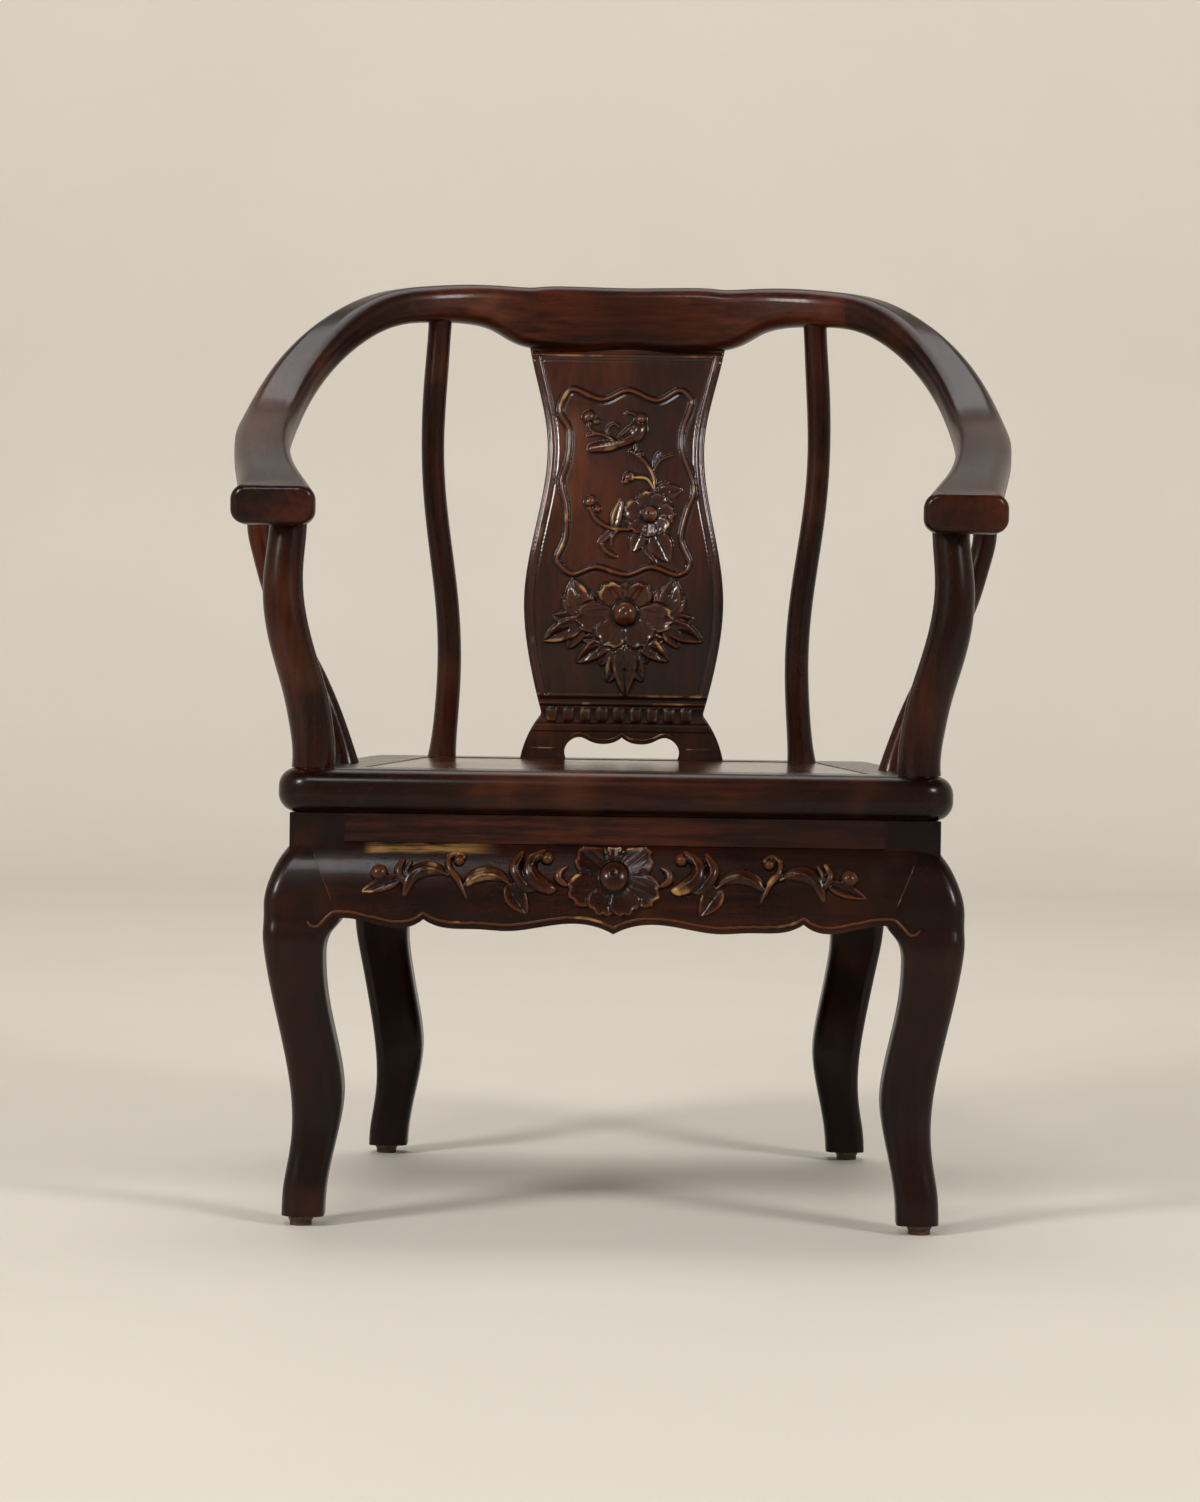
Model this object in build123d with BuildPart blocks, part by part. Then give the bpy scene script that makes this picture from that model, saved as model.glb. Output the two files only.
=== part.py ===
from build123d import *
import os
from math import atan2, cos, degrees, hypot, radians, sin

# A low horseshoe back armchair in rosewood.
# The chair is modelled square, with its seat level, in a frame whose +Z is up
# and whose front faces -Y. It is then leaned back on its shorter rear legs.

# ---- Seat frame -----------------------------------------------------------
SEAT_HEIGHT = 360.0          # top of the seat, halfway between front and back
SEAT_FRONT_WIDTH = 541.0
SEAT_BACK_WIDTH = 457.0
SEAT_DEPTH = 475.0
SEAT_RAIL_WIDTH = 62.0
SEAT_RAIL_THICKNESS = 35.5
SEAT_NOSE_RADIUS = 15.0      # rounding of the frame's outer edge
SEAT_CORNER_RADIUS = 26.0
SEAT_LEAN = 1.1              # degrees, front up

# ---- Seat panel and its batten --------------------------------------------
PANEL_THICKNESS = 10.0
PANEL_SINK = 0.6             # panel top below the frame's top
PANEL_GAP = 0.4              # shadow line round the panel
TONGUE_THICKNESS = 5.0
TONGUE_DEPTH = 8.0
BATTEN_WIDTH = 44.0
BATTEN_THICKNESS = 17.0
BATTEN_HOUSING = 12.0        # how far its ends are let into the side rails

# ---- Waist and aprons -----------------------------------------------------
WAIST_HEIGHT = 22.5
WAIST_SET_BACK = 11.5        # behind the seat frame's edge
WAIST_THICKNESS = 14.0
APRON_HEIGHT = 60.0          # down to where its edge meets the legs
APRON_THICKNESS = 16.0       # behind the waist's face
APRON_DROP = 9.5             # how far the centre cusp hangs below that
APRON_BELLY = 18.5           # how far the bulge stands out from the waist
KNEE_RADIUS = 13.0
MITRE_TOE = 3.0              # where the mitre starts, past the leg's inner face
MITRE_SPREAD = 25.0          # how far the mitre leans out over the apron's height

# ---- Legs -----------------------------------------------------------------
POST_SIZE = 40.0             # square head of the leg
LEG_TENON = 18.0
LEG_TENON_HEIGHT = 11.0
FOOT_INSET_FRONT = 24.5      # glide centres in from the seat's corners
FOOT_INSET_BACK = 22.5
FOOT_INSET_DEPTH = 21.5
LEG_OUTER_RADIUS = 12.0
LEG_INNER_RADIUS = 8.0
MITRE_RADIUS = 2.0           # the leg is nearly square where the aprons meet it
HEAD_LAP = 1.6               # how far the square head is buried in the knee
# share of the height up to the apron, then the reach in and out from the foot's centre
LEG_SECTIONS = [
    (-0.012, 18.5, 15.5),
    (0.112, 20.0, 14.2),
    (0.190, 23.0, 11.2),
    (0.269, 27.0, 8.8),
    (0.347, 30.6, 8.4),
    (0.426, 32.2, 9.8),
    (0.504, 30.4, 12.6),
    (0.603, 25.8, 17.2),
    (0.736, 19.6, 24.0),
    (0.860, 17.2, 29.4),
    (0.942, 20.5, 31.4),
]

# ---- Glides ---------------------------------------------------------------
GLIDE_CUP_RADIUS = 9.8
GLIDE_CUP_HEIGHT = 3.4
GLIDE_PAD_RADIUS = 8.8
GLIDE_PAD_HEIGHT = 4.6
GLIDE_NAIL_RADIUS = 1.4
GLIDE_NAIL_LENGTH = 16.0

# ---- Horseshoe rail -------------------------------------------------------
RAIL_OVERHANG = 28.5         # its centre line at its widest, outside the seat's front corners
RAIL_BACK_INSET = 16.5       # its centre line behind the splat, in from the seat's back edge
RAIL_WIDEST = 187.5          # where it is widest, behind the seat's front edge
RAIL_SQUARENESS = 2.4
# share of the quarter turn, height above the seat, thickness across and up, twist
RAIL_SWEEP = [
    (0.000, 391.5, 31.0, 56.0, 0.0),
    (0.125, 391.5, 31.0, 56.0, 0.0),
    (0.155, 393.0, 31.5, 52.0, 0.0),
    (0.205, 399.0, 32.0, 41.0, 1.0),
    (0.270, 402.0, 33.0, 34.5, 2.0),
    (0.350, 400.5, 34.0, 32.0, 4.0),
    (0.450, 394.5, 36.0, 31.0, 8.0),
    (0.560, 377.0, 38.0, 30.5, 12.0),
    (0.680, 349.5, 41.0, 30.0, 14.0),
    (0.810, 314.5, 43.0, 30.0, 12.0),
    (0.930, 283.0, 45.0, 30.0, 8.0),
]
# inside the widest line, behind the seat's front edge, height above the seat,
# twist, then thickness across and up of the straighter arm
ARM_SWEEP = [
    (0.0, 185.5, 266.0, 0.0, 46.0, 30.0),
    (5.0, 132.5, 247.0, 6.0, 46.0, 30.0),
    (14.0, 82.5, 230.0, 8.0, 50.0, 31.0),
    (23.0, 37.5, 215.0, 4.0, 58.0, 32.0),
    (25.0, -11.5, 209.0, -2.0, 68.0, 32.0),
]
RAIL_ROUNDING = 0.38         # corner radius as a share of the thinner side
GRIP_ROUNDING = 6.0
SCARF_X = 196.0              # where the arms are scarfed to the crest
SCARF_SLANT = 20.0           # half the run of the saw cut across the rail
SCARF_REACH = 80.0
SCARF_BACK_INSET = 61.5
SCARF_PIN = 6.0
SCARF_PIN_FOOT = 375.0       # above the seat, under the rail
SCARF_PIN_LENGTH = 60.0

# ---- Splat ----------------------------------------------------------------
SPLAT_RISE = 377.0           # up to its shoulder in the crest
SPLAT_THICKNESS = 13.0
SPLAT_TOP_WIDTH = 172.0
SPLAT_NECK_WIDTH = 140.0
SPLAT_BELLY_WIDTH = 176.5
SPLAT_WAIST_WIDTH = 143.0
SPLAT_FOOT_WIDTH = 180.0
SPLAT_ARCH_WIDTH = 99.0
SPLAT_ARCH_HEIGHT = 19.0
SPLAT_TONGUE = 12.0
SPLAT_SHOULDER = 6.0         # its tongues are this much narrower than its feet
SPLAT_BACK_INSET = 43.5      # foot of the splat, in from the seat's back edge

# ---- Posts: height above the seat, then how far out and back each station
# stands from the foot of the post, and its width -----------------------------
POST_TENON = 16.0
POST_TENON_SHARE = 0.72      # of the width at the foot
FRONT_POST_FOOT = (29.3, 29.5)       # in from the seat's front corner, and behind its front edge
FRONT_POST_STATIONS = [
    (0.0, 0.0, 0.0, 34.5),
    (35.0, 2.2, -1.0, 35.0),
    (57.0, 6.4, -3.0, 35.5),
    (76.0, 11.6, -5.5, 35.5),
    (96.0, 17.4, -8.0, 35.0),
    (116.0, 22.0, -9.5, 34.0),
    (138.0, 24.8, -9.5, 32.5),
    (160.0, 24.6, -8.0, 31.0),
    (183.0, 22.4, -5.5, 30.0),
    (206.0, 20.8, -3.0, 29.5),
]
SIDE_POST_FOOT = (42.5, 181.5)
SIDE_POST_STATIONS = [
    (0.0, 0.0, 0.0, 25.0),
    (12.0, 2.5, 0.0, 22.0),
    (30.0, 8.0, 0.0, 20.5),
    (56.0, 18.0, 0.0, 20.0),
    (82.0, 30.5, 0.0, 20.0),
    (110.0, 46.0, 0.0, 20.0),
    (138.0, 58.5, 0.0, 20.0),
    (170.0, 68.0, 0.0, 20.0),
    (210.0, 72.0, 0.0, 20.0),
    (262.0, 72.5, 0.0, 20.0),
]
BACK_POST_SPREAD = 320.0
BACK_POST_INSET = 41.5       # in from the seat's back edge
BACK_POST_STATIONS = [
    (0.0, 0.0, 0.0, 25.5),
    (14.0, -1.5, -0.5, 23.0),
    (50.0, -4.5, -2.5, 21.5),
    (105.0, -5.5, -6.0, 21.0),
    (160.0, -0.5, -8.5, 21.0),
    (220.0, 7.5, -9.0, 20.5),
    (290.0, 11.0, -7.5, 20.5),
    (345.0, 8.5, -5.5, 21.0),
    (397.0, 5.5, -5.0, 22.5),
]

# ---- Worked out -----------------------------------------------------------
SIDE_SLOPE = (SEAT_FRONT_WIDTH - SEAT_BACK_WIDTH) / 2 / SEAT_DEPTH
SEAT_UNDERSIDE = SEAT_HEIGHT - SEAT_RAIL_THICKNESS
WAIST_BOTTOM = SEAT_UNDERSIDE - WAIST_HEIGHT
APRON_FOOT = WAIST_BOTTOM - APRON_HEIGHT
APRON_LOWEST = APRON_FOOT - APRON_DROP
BELLY_INSET = WAIST_SET_BACK - APRON_BELLY
POST_INSET = WAIST_SET_BACK + POST_SIZE
FOOT_SPREAD_FRONT = SEAT_FRONT_WIDTH - 2 * FOOT_INSET_FRONT
FOOT_SPREAD_BACK = SEAT_BACK_WIDTH - 2 * FOOT_INSET_BACK
FOOT_DEPTH = SEAT_DEPTH - 2 * FOOT_INSET_DEPTH
RAIL_HALF_WIDTH = SEAT_FRONT_WIDTH / 2 + RAIL_OVERHANG
RAIL_BACK = SEAT_DEPTH / 2 - RAIL_BACK_INSET
RAIL_CENTRE = RAIL_WIDEST - SEAT_DEPTH / 2
SCARF_Y = SEAT_DEPTH / 2 - SCARF_BACK_INSET
SPLAT_TOP = SEAT_HEIGHT + SPLAT_RISE
SPLAT_BASE_Y = SEAT_DEPTH / 2 - SPLAT_BACK_INSET
PANEL_TOP = SEAT_HEIGHT - PANEL_SINK
PANEL_FOOT = PANEL_TOP - PANEL_THICKNESS
CUTTER = 60.0                # reach of cutting bodies past what they cut
KNEE_LEVEL = APRON_FOOT      # the level at which the knees stand out furthest
GLIDE_HEIGHT = GLIDE_PAD_HEIGHT + GLIDE_CUP_HEIGHT

HANGING = (Align.CENTER, Align.CENTER, Align.MAX)
STANDING = (Align.CENTER, Align.CENTER, Align.MIN)

# The lean turns the chair about the X axis. The shift then centres it again
# between its front and back knees.
LEAN = Location((0, 0, 0), (-SEAT_LEAN, 0, 0))
STANCE = Location((0, KNEE_LEVEL * sin(radians(-SEAT_LEAN)), 0)) * LEAN


def seat_corners(inset):
    """Corners of the seat outline, moved in by inset on every side."""
    reach = SEAT_DEPTH / 2 - inset
    middle = (SEAT_FRONT_WIDTH + SEAT_BACK_WIDTH) / 4 - inset * hypot(1, SIDE_SLOPE)
    front_x = middle + SIDE_SLOPE * reach
    back_x = middle - SIDE_SLOPE * reach
    return [(-front_x, -reach), (front_x, -reach), (back_x, reach), (-back_x, reach)]


def side_plane(side, inset):
    """Upright plane behind one side of the seat outline by inset, facing outward."""
    corners = seat_corners(WAIST_SET_BACK)
    order = {"front": (0, 1), "right": (1, 2), "back": (2, 3), "left": (3, 0)}
    start, end = (Vector(*corners[index]) for index in order[side])
    along = (end - start).normalized()
    outward = along.cross(Vector(0, 0, 1))
    middle = (start + end) / 2 + outward * (WAIST_SET_BACK - inset)
    return Plane(origin=middle, x_dir=along, z_dir=outward)


SIDES = ["front", "right", "back", "left"]
CORNERS = {
    "front_left": (-1, -1),
    "front_right": (1, -1),
    "back_right": (1, 1),
    "back_left": (-1, 1),
}


def foot_x(across, along):
    """X of a foot's centre."""
    return across * (FOOT_SPREAD_FRONT if along < 0 else FOOT_SPREAD_BACK) / 2


def corner_point(across, along, inset):
    """One corner of the seat outline, moved in by inset."""
    front, back = seat_corners(inset)[1:3]
    reach_x, reach_y = front if along < 0 else back
    return (across * reach_x, reach_y)


def keep(piece, name):
    """Stand a finished piece on the floor, name it and write it."""
    standing = piece.moved(STANCE)
    standing.label = name
    export_step(standing, f"parts/{name}.step")


os.makedirs("parts", exist_ok=True)

# ---- Legs' soles lie in a plane that is level once the chair stands ---------
SOLE = Plane(STANCE.inverse() * Location((0, STANCE.position.Y, GLIDE_HEIGHT)))

# ---- Leg heads: square posts inside the waist line, with a tenon on top ----
leg_heads = {}
for name, (across, along) in CORNERS.items():
    inner_x, inner_y = corner_point(across, along, POST_INSET)
    tenon_place = (inner_x + across * POST_SIZE / 2, inner_y + along * POST_SIZE / 2)
    with BuildPart() as head:
        with BuildSketch(Plane.XY.offset(APRON_FOOT)):
            Polygon(*seat_corners(WAIST_SET_BACK), align=None)
            with Locations((inner_x + across * CUTTER, inner_y + along * CUTTER)):
                Rectangle(2 * CUTTER, 2 * CUTTER, mode=Mode.INTERSECT)
        extrude(amount=SEAT_UNDERSIDE - APRON_FOOT)
        with BuildSketch(Plane.XY.offset(SEAT_UNDERSIDE)):
            with Locations(tenon_place):
                Rectangle(LEG_TENON, LEG_TENON)
        extrude(amount=LEG_TENON_HEIGHT)
    leg_heads[name] = head

# ---- The bulged belt that aprons and knees are cut from --------------------
BELLY = [
    (APRON_LOWEST - 2, BELLY_INSET),
    (APRON_FOOT + 0.20 * APRON_HEIGHT, BELLY_INSET),
    (APRON_FOOT + 0.42 * APRON_HEIGHT, BELLY_INSET + 0.12 * APRON_BELLY),
    (APRON_FOOT + 0.62 * APRON_HEIGHT, BELLY_INSET + 0.34 * APRON_BELLY),
    (APRON_FOOT + 0.82 * APRON_HEIGHT, BELLY_INSET + 0.66 * APRON_BELLY),
    (WAIST_BOTTOM, WAIST_SET_BACK + 1.0),
]
with BuildPart() as belt:
    for level, inset in BELLY:
        with BuildSketch(Plane.XY.offset(level)) as section:
            Polygon(*seat_corners(inset), align=None)
            fillet(section.vertices(), KNEE_RADIUS)
    loft()


def apron_length(side):
    """Half the apron's length at its foot, between the legs."""
    if side == "front":
        return -seat_corners(POST_INSET)[0][0]
    if side == "back":
        return seat_corners(POST_INSET)[2][0]
    return (SEAT_DEPTH / 2 - POST_INSET) * hypot(1, SIDE_SLOPE)


def apron_outline(side):
    """Face of an apron: scalloped below, with mitred ends that lean out."""
    length = apron_length(side) + MITRE_TOE
    lobe = 0.69 * length
    cusp = APRON_FOOT + 0.2
    trough = APRON_FOOT - 0.78 * APRON_DROP
    with BuildSketch() as outline:
        with BuildLine():
            for hand in (-1, 1):
                Spline(
                    (hand * length, APRON_FOOT),
                    (hand * 0.895 * length, APRON_FOOT - 0.25 * APRON_DROP),
                    (hand * 0.770 * length, APRON_FOOT - 0.72 * APRON_DROP),
                    (hand * lobe, cusp),
                )
                Spline(
                    (hand * lobe, cusp),
                    (hand * 0.635 * length, APRON_FOOT - 0.55 * APRON_DROP),
                    (hand * 0.490 * length, APRON_FOOT - 0.74 * APRON_DROP),
                    (hand * 0.385 * length, APRON_FOOT - 0.86 * APRON_DROP),
                    (hand * 0.180 * length, APRON_FOOT - 0.20 * APRON_DROP),
                    (0, APRON_LOWEST),
                )
                end = (hand * (length + MITRE_SPREAD), WAIST_BOTTOM)
                Line((hand * length, APRON_FOOT), end)
            Line((-length - MITRE_SPREAD, WAIST_BOTTOM), (length + MITRE_SPREAD, WAIST_BOTTOM))
        make_face()
    return outline.sketch


# ---- Legs ------------------------------------------------------------------


def leg_slice(across, along, inner, outer, slant, inner_radius):
    """Section of a leg from its inner to its outer corner, its side face slanted like the seat."""
    side_x = outer[0] - across * slant * abs(outer[1] - inner[1])
    with BuildSketch() as slice_of_leg:
        Polygon(inner, (side_x, inner[1]), outer, (inner[0], outer[1]), align=None)
        corners = slice_of_leg.vertices().sort_by_distance(Vector(*outer))
        fillet(corners[0], LEG_OUTER_RADIUS)
        corners = slice_of_leg.vertices().sort_by_distance(Vector(*outer))
        fillet(corners[2:], inner_radius)
    return slice_of_leg.sketch


for name, (across, along) in CORNERS.items():
    head_x, head_y = corner_point(across, along, POST_INSET)
    foot = (foot_x(across, along), along * FOOT_DEPTH / 2)
    with BuildPart() as leg:
        for share, reach_in, reach_out in LEG_SECTIONS:
            inner = (foot[0] - across * reach_in, foot[1] - along * reach_in)
            outer = (foot[0] + across * reach_out, foot[1] + along * reach_out)
            with BuildSketch(Plane.XY.offset(share * APRON_FOOT)):
                add(leg_slice(across, along, inner, outer, 0, LEG_INNER_RADIUS))
        # from the knee up, the slices follow the bulge of the aprons
        for level, inset in [(APRON_FOOT, BELLY_INSET)] + BELLY[1:]:
            inner = (head_x + across * HEAD_LAP, head_y + along * HEAD_LAP)
            outer = corner_point(across, along, inset)
            with BuildSketch(Plane.XY.offset(level)):
                add(leg_slice(across, along, inner, outer, along * -SIDE_SLOPE, MITRE_RADIUS))
        loft()
        split(bisect_by=SOLE, keep=Keep.TOP)
        with Locations(SOLE * Location((foot[0], foot[1], 0))):
            Cylinder(GLIDE_NAIL_RADIUS, GLIDE_NAIL_LENGTH, align=STANDING, mode=Mode.SUBTRACT)
        for side in ("front" if along < 0 else "back", "left" if across < 0 else "right"):
            with BuildSketch(side_plane(side, WAIST_SET_BACK + HEAD_LAP)):
                add(apron_outline(side))
            extrude(amount=CUTTER, mode=Mode.SUBTRACT)
        add(leg_heads[name].part)
    keep(leg.part, f"{name}_leg")

# ---- Aprons: slices of the belt, mitred where they lap over the legs -------
with BuildPart() as leg_blocks:
    for across, along in CORNERS.values():
        head_x, head_y = corner_point(across, along, POST_INSET)
        with BuildSketch(Plane.XY.offset(APRON_LOWEST - CUTTER)):
            Polygon(*seat_corners(WAIST_SET_BACK), align=None)
            with Locations((head_x + across * CUTTER, head_y + along * CUTTER)):
                Rectangle(2 * CUTTER, 2 * CUTTER, mode=Mode.INTERSECT)
    extrude(amount=SEAT_UNDERSIDE - APRON_LOWEST + CUTTER)
for side in SIDES:
    with BuildPart() as apron:
        add(belt.part)
        with BuildSketch(side_plane(side, WAIST_SET_BACK + APRON_THICKNESS)):
            add(apron_outline(side))
        extrude(amount=CUTTER, mode=Mode.INTERSECT)
        add(leg_blocks.part, mode=Mode.SUBTRACT)
    keep(apron.part, f"{side}_apron")

# ---- Waist boards, cut long and trimmed by the leg heads --------------------
for side in SIDES:
    with BuildPart() as waist:
        with BuildSketch(side_plane(side, WAIST_SET_BACK)):
            with Locations((0, WAIST_BOTTOM + WAIST_HEIGHT / 2)):
                Rectangle(2 * apron_length(side) + POST_SIZE / 2, WAIST_HEIGHT)
        extrude(amount=-WAIST_THICKNESS)
        for head in leg_heads.values():
            add(head.part, mode=Mode.SUBTRACT)
    keep(waist.part, f"{side}_waist")

# ---- Glides: a nailed cup under each foot, holding a pad -------------------
with BuildPart() as glide_cups:
    for across, along in CORNERS.values():
        with Locations(SOLE * Location((foot_x(across, along), along * FOOT_DEPTH / 2, 0))):
            Cylinder(GLIDE_CUP_RADIUS, GLIDE_CUP_HEIGHT, align=HANGING)
            Cylinder(GLIDE_NAIL_RADIUS, GLIDE_NAIL_LENGTH, align=STANDING)
with BuildPart() as glide_pads:
    for across, along in CORNERS.values():
        pad_top = (foot_x(across, along), along * FOOT_DEPTH / 2, -GLIDE_CUP_HEIGHT)
        with Locations(SOLE * Location(pad_top)):
            Cylinder(GLIDE_PAD_RADIUS, GLIDE_PAD_HEIGHT, align=HANGING)
keep(glide_cups.part, "glide_cups")
keep(glide_pads.part, "glide_pads")

# ---- Arm posts and back posts ----------------------------------------------


def turned_post(foot, stations):
    """A right-hand post of round section, with a tenon below the seat."""
    with BuildPart() as post:
        for height, outward, back, width in stations:
            with BuildSketch(Plane.XY.offset(SEAT_HEIGHT + height)):
                with Locations((foot[0] + outward, foot[1] + back)):
                    Circle(width / 2)
        loft()
        with Locations((foot[0], foot[1], SEAT_HEIGHT)):
            Cylinder(POST_TENON_SHARE * stations[0][-1] / 2, POST_TENON, align=HANGING)
    return post.part


front_foot = (SEAT_FRONT_WIDTH / 2 - FRONT_POST_FOOT[0], FRONT_POST_FOOT[1] - SEAT_DEPTH / 2)
side_foot = (SEAT_FRONT_WIDTH / 2 - SIDE_POST_FOOT[0], SIDE_POST_FOOT[1] - SEAT_DEPTH / 2)
back_foot = (BACK_POST_SPREAD / 2, SEAT_DEPTH / 2 - BACK_POST_INSET)
posts = {
    "right_front_post": turned_post(front_foot, FRONT_POST_STATIONS),
    "right_side_post": turned_post(side_foot, SIDE_POST_STATIONS),
    "right_back_post": turned_post(back_foot, BACK_POST_STATIONS),
}
for name, post in list(posts.items()):
    posts[name.replace("right", "left")] = mirror(post, about=Plane.YZ)

# ---- Splat: an S-curved board, sawn to its outline --------------------------
splat_edge = [
    (SPLAT_TOP_WIDTH / 2 + 3, SPLAT_TOP),
    (SPLAT_TOP_WIDTH / 2 - 4, SEAT_HEIGHT + 0.91 * SPLAT_RISE),
    (SPLAT_NECK_WIDTH / 2, SEAT_HEIGHT + 0.755 * SPLAT_RISE),
    (SPLAT_NECK_WIDTH / 2 + 5.5, SEAT_HEIGHT + 0.59 * SPLAT_RISE),
    (SPLAT_BELLY_WIDTH / 2, SEAT_HEIGHT + 0.38 * SPLAT_RISE),
    (SPLAT_BELLY_WIDTH / 2 - 7, SEAT_HEIGHT + 0.21 * SPLAT_RISE),
    (SPLAT_WAIST_WIDTH / 2, SEAT_HEIGHT + 0.105 * SPLAT_RISE),
]
tongue_out = SPLAT_FOOT_WIDTH / 2 - SPLAT_SHOULDER
tongue_in = SPLAT_ARCH_WIDTH / 2 + SPLAT_SHOULDER
with BuildPart() as splat:
    with BuildSketch(Plane.YZ):
        with BuildLine():
            Spline(
                (SPLAT_BASE_Y, SEAT_HEIGHT - SPLAT_TONGUE),
                (SPLAT_BASE_Y - 1, SEAT_HEIGHT + 0.08 * SPLAT_RISE),
                (SPLAT_BASE_Y - 4, SEAT_HEIGHT + 0.30 * SPLAT_RISE),
                (SPLAT_BASE_Y + 5, SEAT_HEIGHT + 0.62 * SPLAT_RISE),
                (RAIL_BACK - 5, SEAT_HEIGHT + 0.85 * SPLAT_RISE),
                (RAIL_BACK, SPLAT_TOP),
            )
        trace(line_width=SPLAT_THICKNESS)
    extrude(amount=SPLAT_FOOT_WIDTH, both=True)
    with BuildSketch(Plane.XZ):
        with BuildLine():
            for hand in (-1, 1):
                Spline(*[(hand * x, z) for x, z in splat_edge])
                Spline(
                    (hand * SPLAT_WAIST_WIDTH / 2, splat_edge[-1][1]),
                    (hand * (SPLAT_FOOT_WIDTH / 2 - 8), SEAT_HEIGHT + 0.062 * SPLAT_RISE),
                    (hand * SPLAT_FOOT_WIDTH / 2, SEAT_HEIGHT),
                )
                Polyline(
                    (hand * SPLAT_FOOT_WIDTH / 2, SEAT_HEIGHT),
                    (hand * tongue_out, SEAT_HEIGHT),
                    (hand * tongue_out, SEAT_HEIGHT - SPLAT_TONGUE),
                    (hand * tongue_in, SEAT_HEIGHT - SPLAT_TONGUE),
                    (hand * tongue_in, SEAT_HEIGHT),
                    (hand * SPLAT_ARCH_WIDTH / 2, SEAT_HEIGHT),
                )
                Spline(
                    (hand * SPLAT_ARCH_WIDTH / 2, SEAT_HEIGHT),
                    (hand * (SPLAT_ARCH_WIDTH / 2 - 3), SEAT_HEIGHT + 0.80 * SPLAT_ARCH_HEIGHT),
                    (hand * (SPLAT_ARCH_WIDTH / 2 - 12), SEAT_HEIGHT + SPLAT_ARCH_HEIGHT),
                    (hand * 0.56 * SPLAT_ARCH_WIDTH / 2, SEAT_HEIGHT + 0.80 * SPLAT_ARCH_HEIGHT),
                    (hand * 0.26 * SPLAT_ARCH_WIDTH / 2, SEAT_HEIGHT + 0.70 * SPLAT_ARCH_HEIGHT),
                    (0, SEAT_HEIGHT + SPLAT_ARCH_HEIGHT),
                )
            Line((-splat_edge[0][0], SPLAT_TOP), (splat_edge[0][0], SPLAT_TOP))
        make_face()
    extrude(amount=SEAT_DEPTH, both=True, mode=Mode.INTERSECT)

# ---- Horseshoe rail, lofted in one sweep and then sawn at the scarfs --------


def rail_station(share):
    """Centre line of the rail in plan, at a share of its quarter turn."""
    power = 2 / RAIL_SQUARENESS
    turn = radians(90 * share)
    x = RAIL_HALF_WIDTH * sin(turn) ** power
    y = RAIL_CENTRE + (RAIL_BACK - RAIL_CENTRE) * cos(turn) ** power
    return x, y


right_stations = []
for share, height, across, tall, twist in RAIL_SWEEP:
    x, y = rail_station(share)
    right_stations.append((Vector(x, y, SEAT_HEIGHT + height), across, tall, twist))
for inside, behind, height, twist, across, tall in ARM_SWEEP:
    centre = Vector(RAIL_HALF_WIDTH - inside, behind - SEAT_DEPTH / 2, SEAT_HEIGHT + height)
    right_stations.append((centre, across, tall, twist))
left_stations = [
    (Vector(-centre.X, centre.Y, centre.Z), across, tall, twist)
    for centre, across, tall, twist in right_stations[:0:-1]
]
stations = left_stations + right_stations
with BuildPart() as rail:
    for index, (centre, across, tall, twist) in enumerate(stations):
        before = stations[max(index - 1, 0)][0]
        after = stations[min(index + 1, len(stations) - 1)][0]
        heading = (after - before).normalized()
        outward = Vector(-heading.Y, heading.X, 0).normalized()
        with BuildSketch(Plane(centre, x_dir=outward, z_dir=heading).rotated((0, 0, -twist))):
            RectangleRounded(across, tall, RAIL_ROUNDING * min(across, tall))
    loft()
    fillet(rail.faces().sort_by(Axis.Y)[:2].edges(), GRIP_ROUNDING)
    for post in posts.values():
        add(post, mode=Mode.SUBTRACT)
    add(splat.part, mode=Mode.SUBTRACT)

# Seen from above, the crest is all of the rail between two slanted saw cuts.
# A pin stands upright through each joint and locks it.
SCARF_FRONT = (SCARF_X - SCARF_SLANT, SCARF_Y - SCARF_REACH)
SCARF_REAR = (SCARF_X + SCARF_SLANT, SCARF_Y + SCARF_REACH)
scarf_angle = degrees(atan2(SCARF_REACH, SCARF_SLANT))
with BuildPart() as scarf_pins:
    for hand in (-1, 1):
        pin_foot = (hand * SCARF_X, SCARF_Y, SEAT_HEIGHT + SCARF_PIN_FOOT)
        with Locations(Location(pin_foot, (0, 0, hand * scarf_angle))):
            Box(SCARF_PIN, SCARF_PIN, SCARF_PIN_LENGTH, align=STANDING)
    add(rail.part, mode=Mode.INTERSECT)
keep(scarf_pins.part, "scarf_pins")

with BuildPart() as crest_cut:
    with BuildSketch(Plane.XY.offset(SEAT_HEIGHT)):
        Polygon(
            (-SCARF_FRONT[0], SCARF_FRONT[1]),
            SCARF_FRONT,
            SCARF_REAR,
            (-SCARF_REAR[0], SCARF_REAR[1]),
            align=None,
        )
    extrude(amount=2 * SPLAT_RISE)
with BuildPart() as crest_rail:
    add(rail.part)
    add(crest_cut.part, mode=Mode.INTERSECT)
    add(scarf_pins.part, mode=Mode.SUBTRACT)
keep(crest_rail.part, "crest_rail")
with BuildPart() as arm_rail:
    add(rail.part)
    split(bisect_by=Plane.YZ, keep=Keep.TOP)
    add(crest_cut.part, mode=Mode.SUBTRACT)
    add(scarf_pins.part, mode=Mode.SUBTRACT)
keep(arm_rail.part, "right_arm_rail")
keep(mirror(arm_rail.part, about=Plane.YZ), "left_arm_rail")
keep(splat.part, "back_splat")
for name, post in posts.items():
    keep(post, name)

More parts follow.
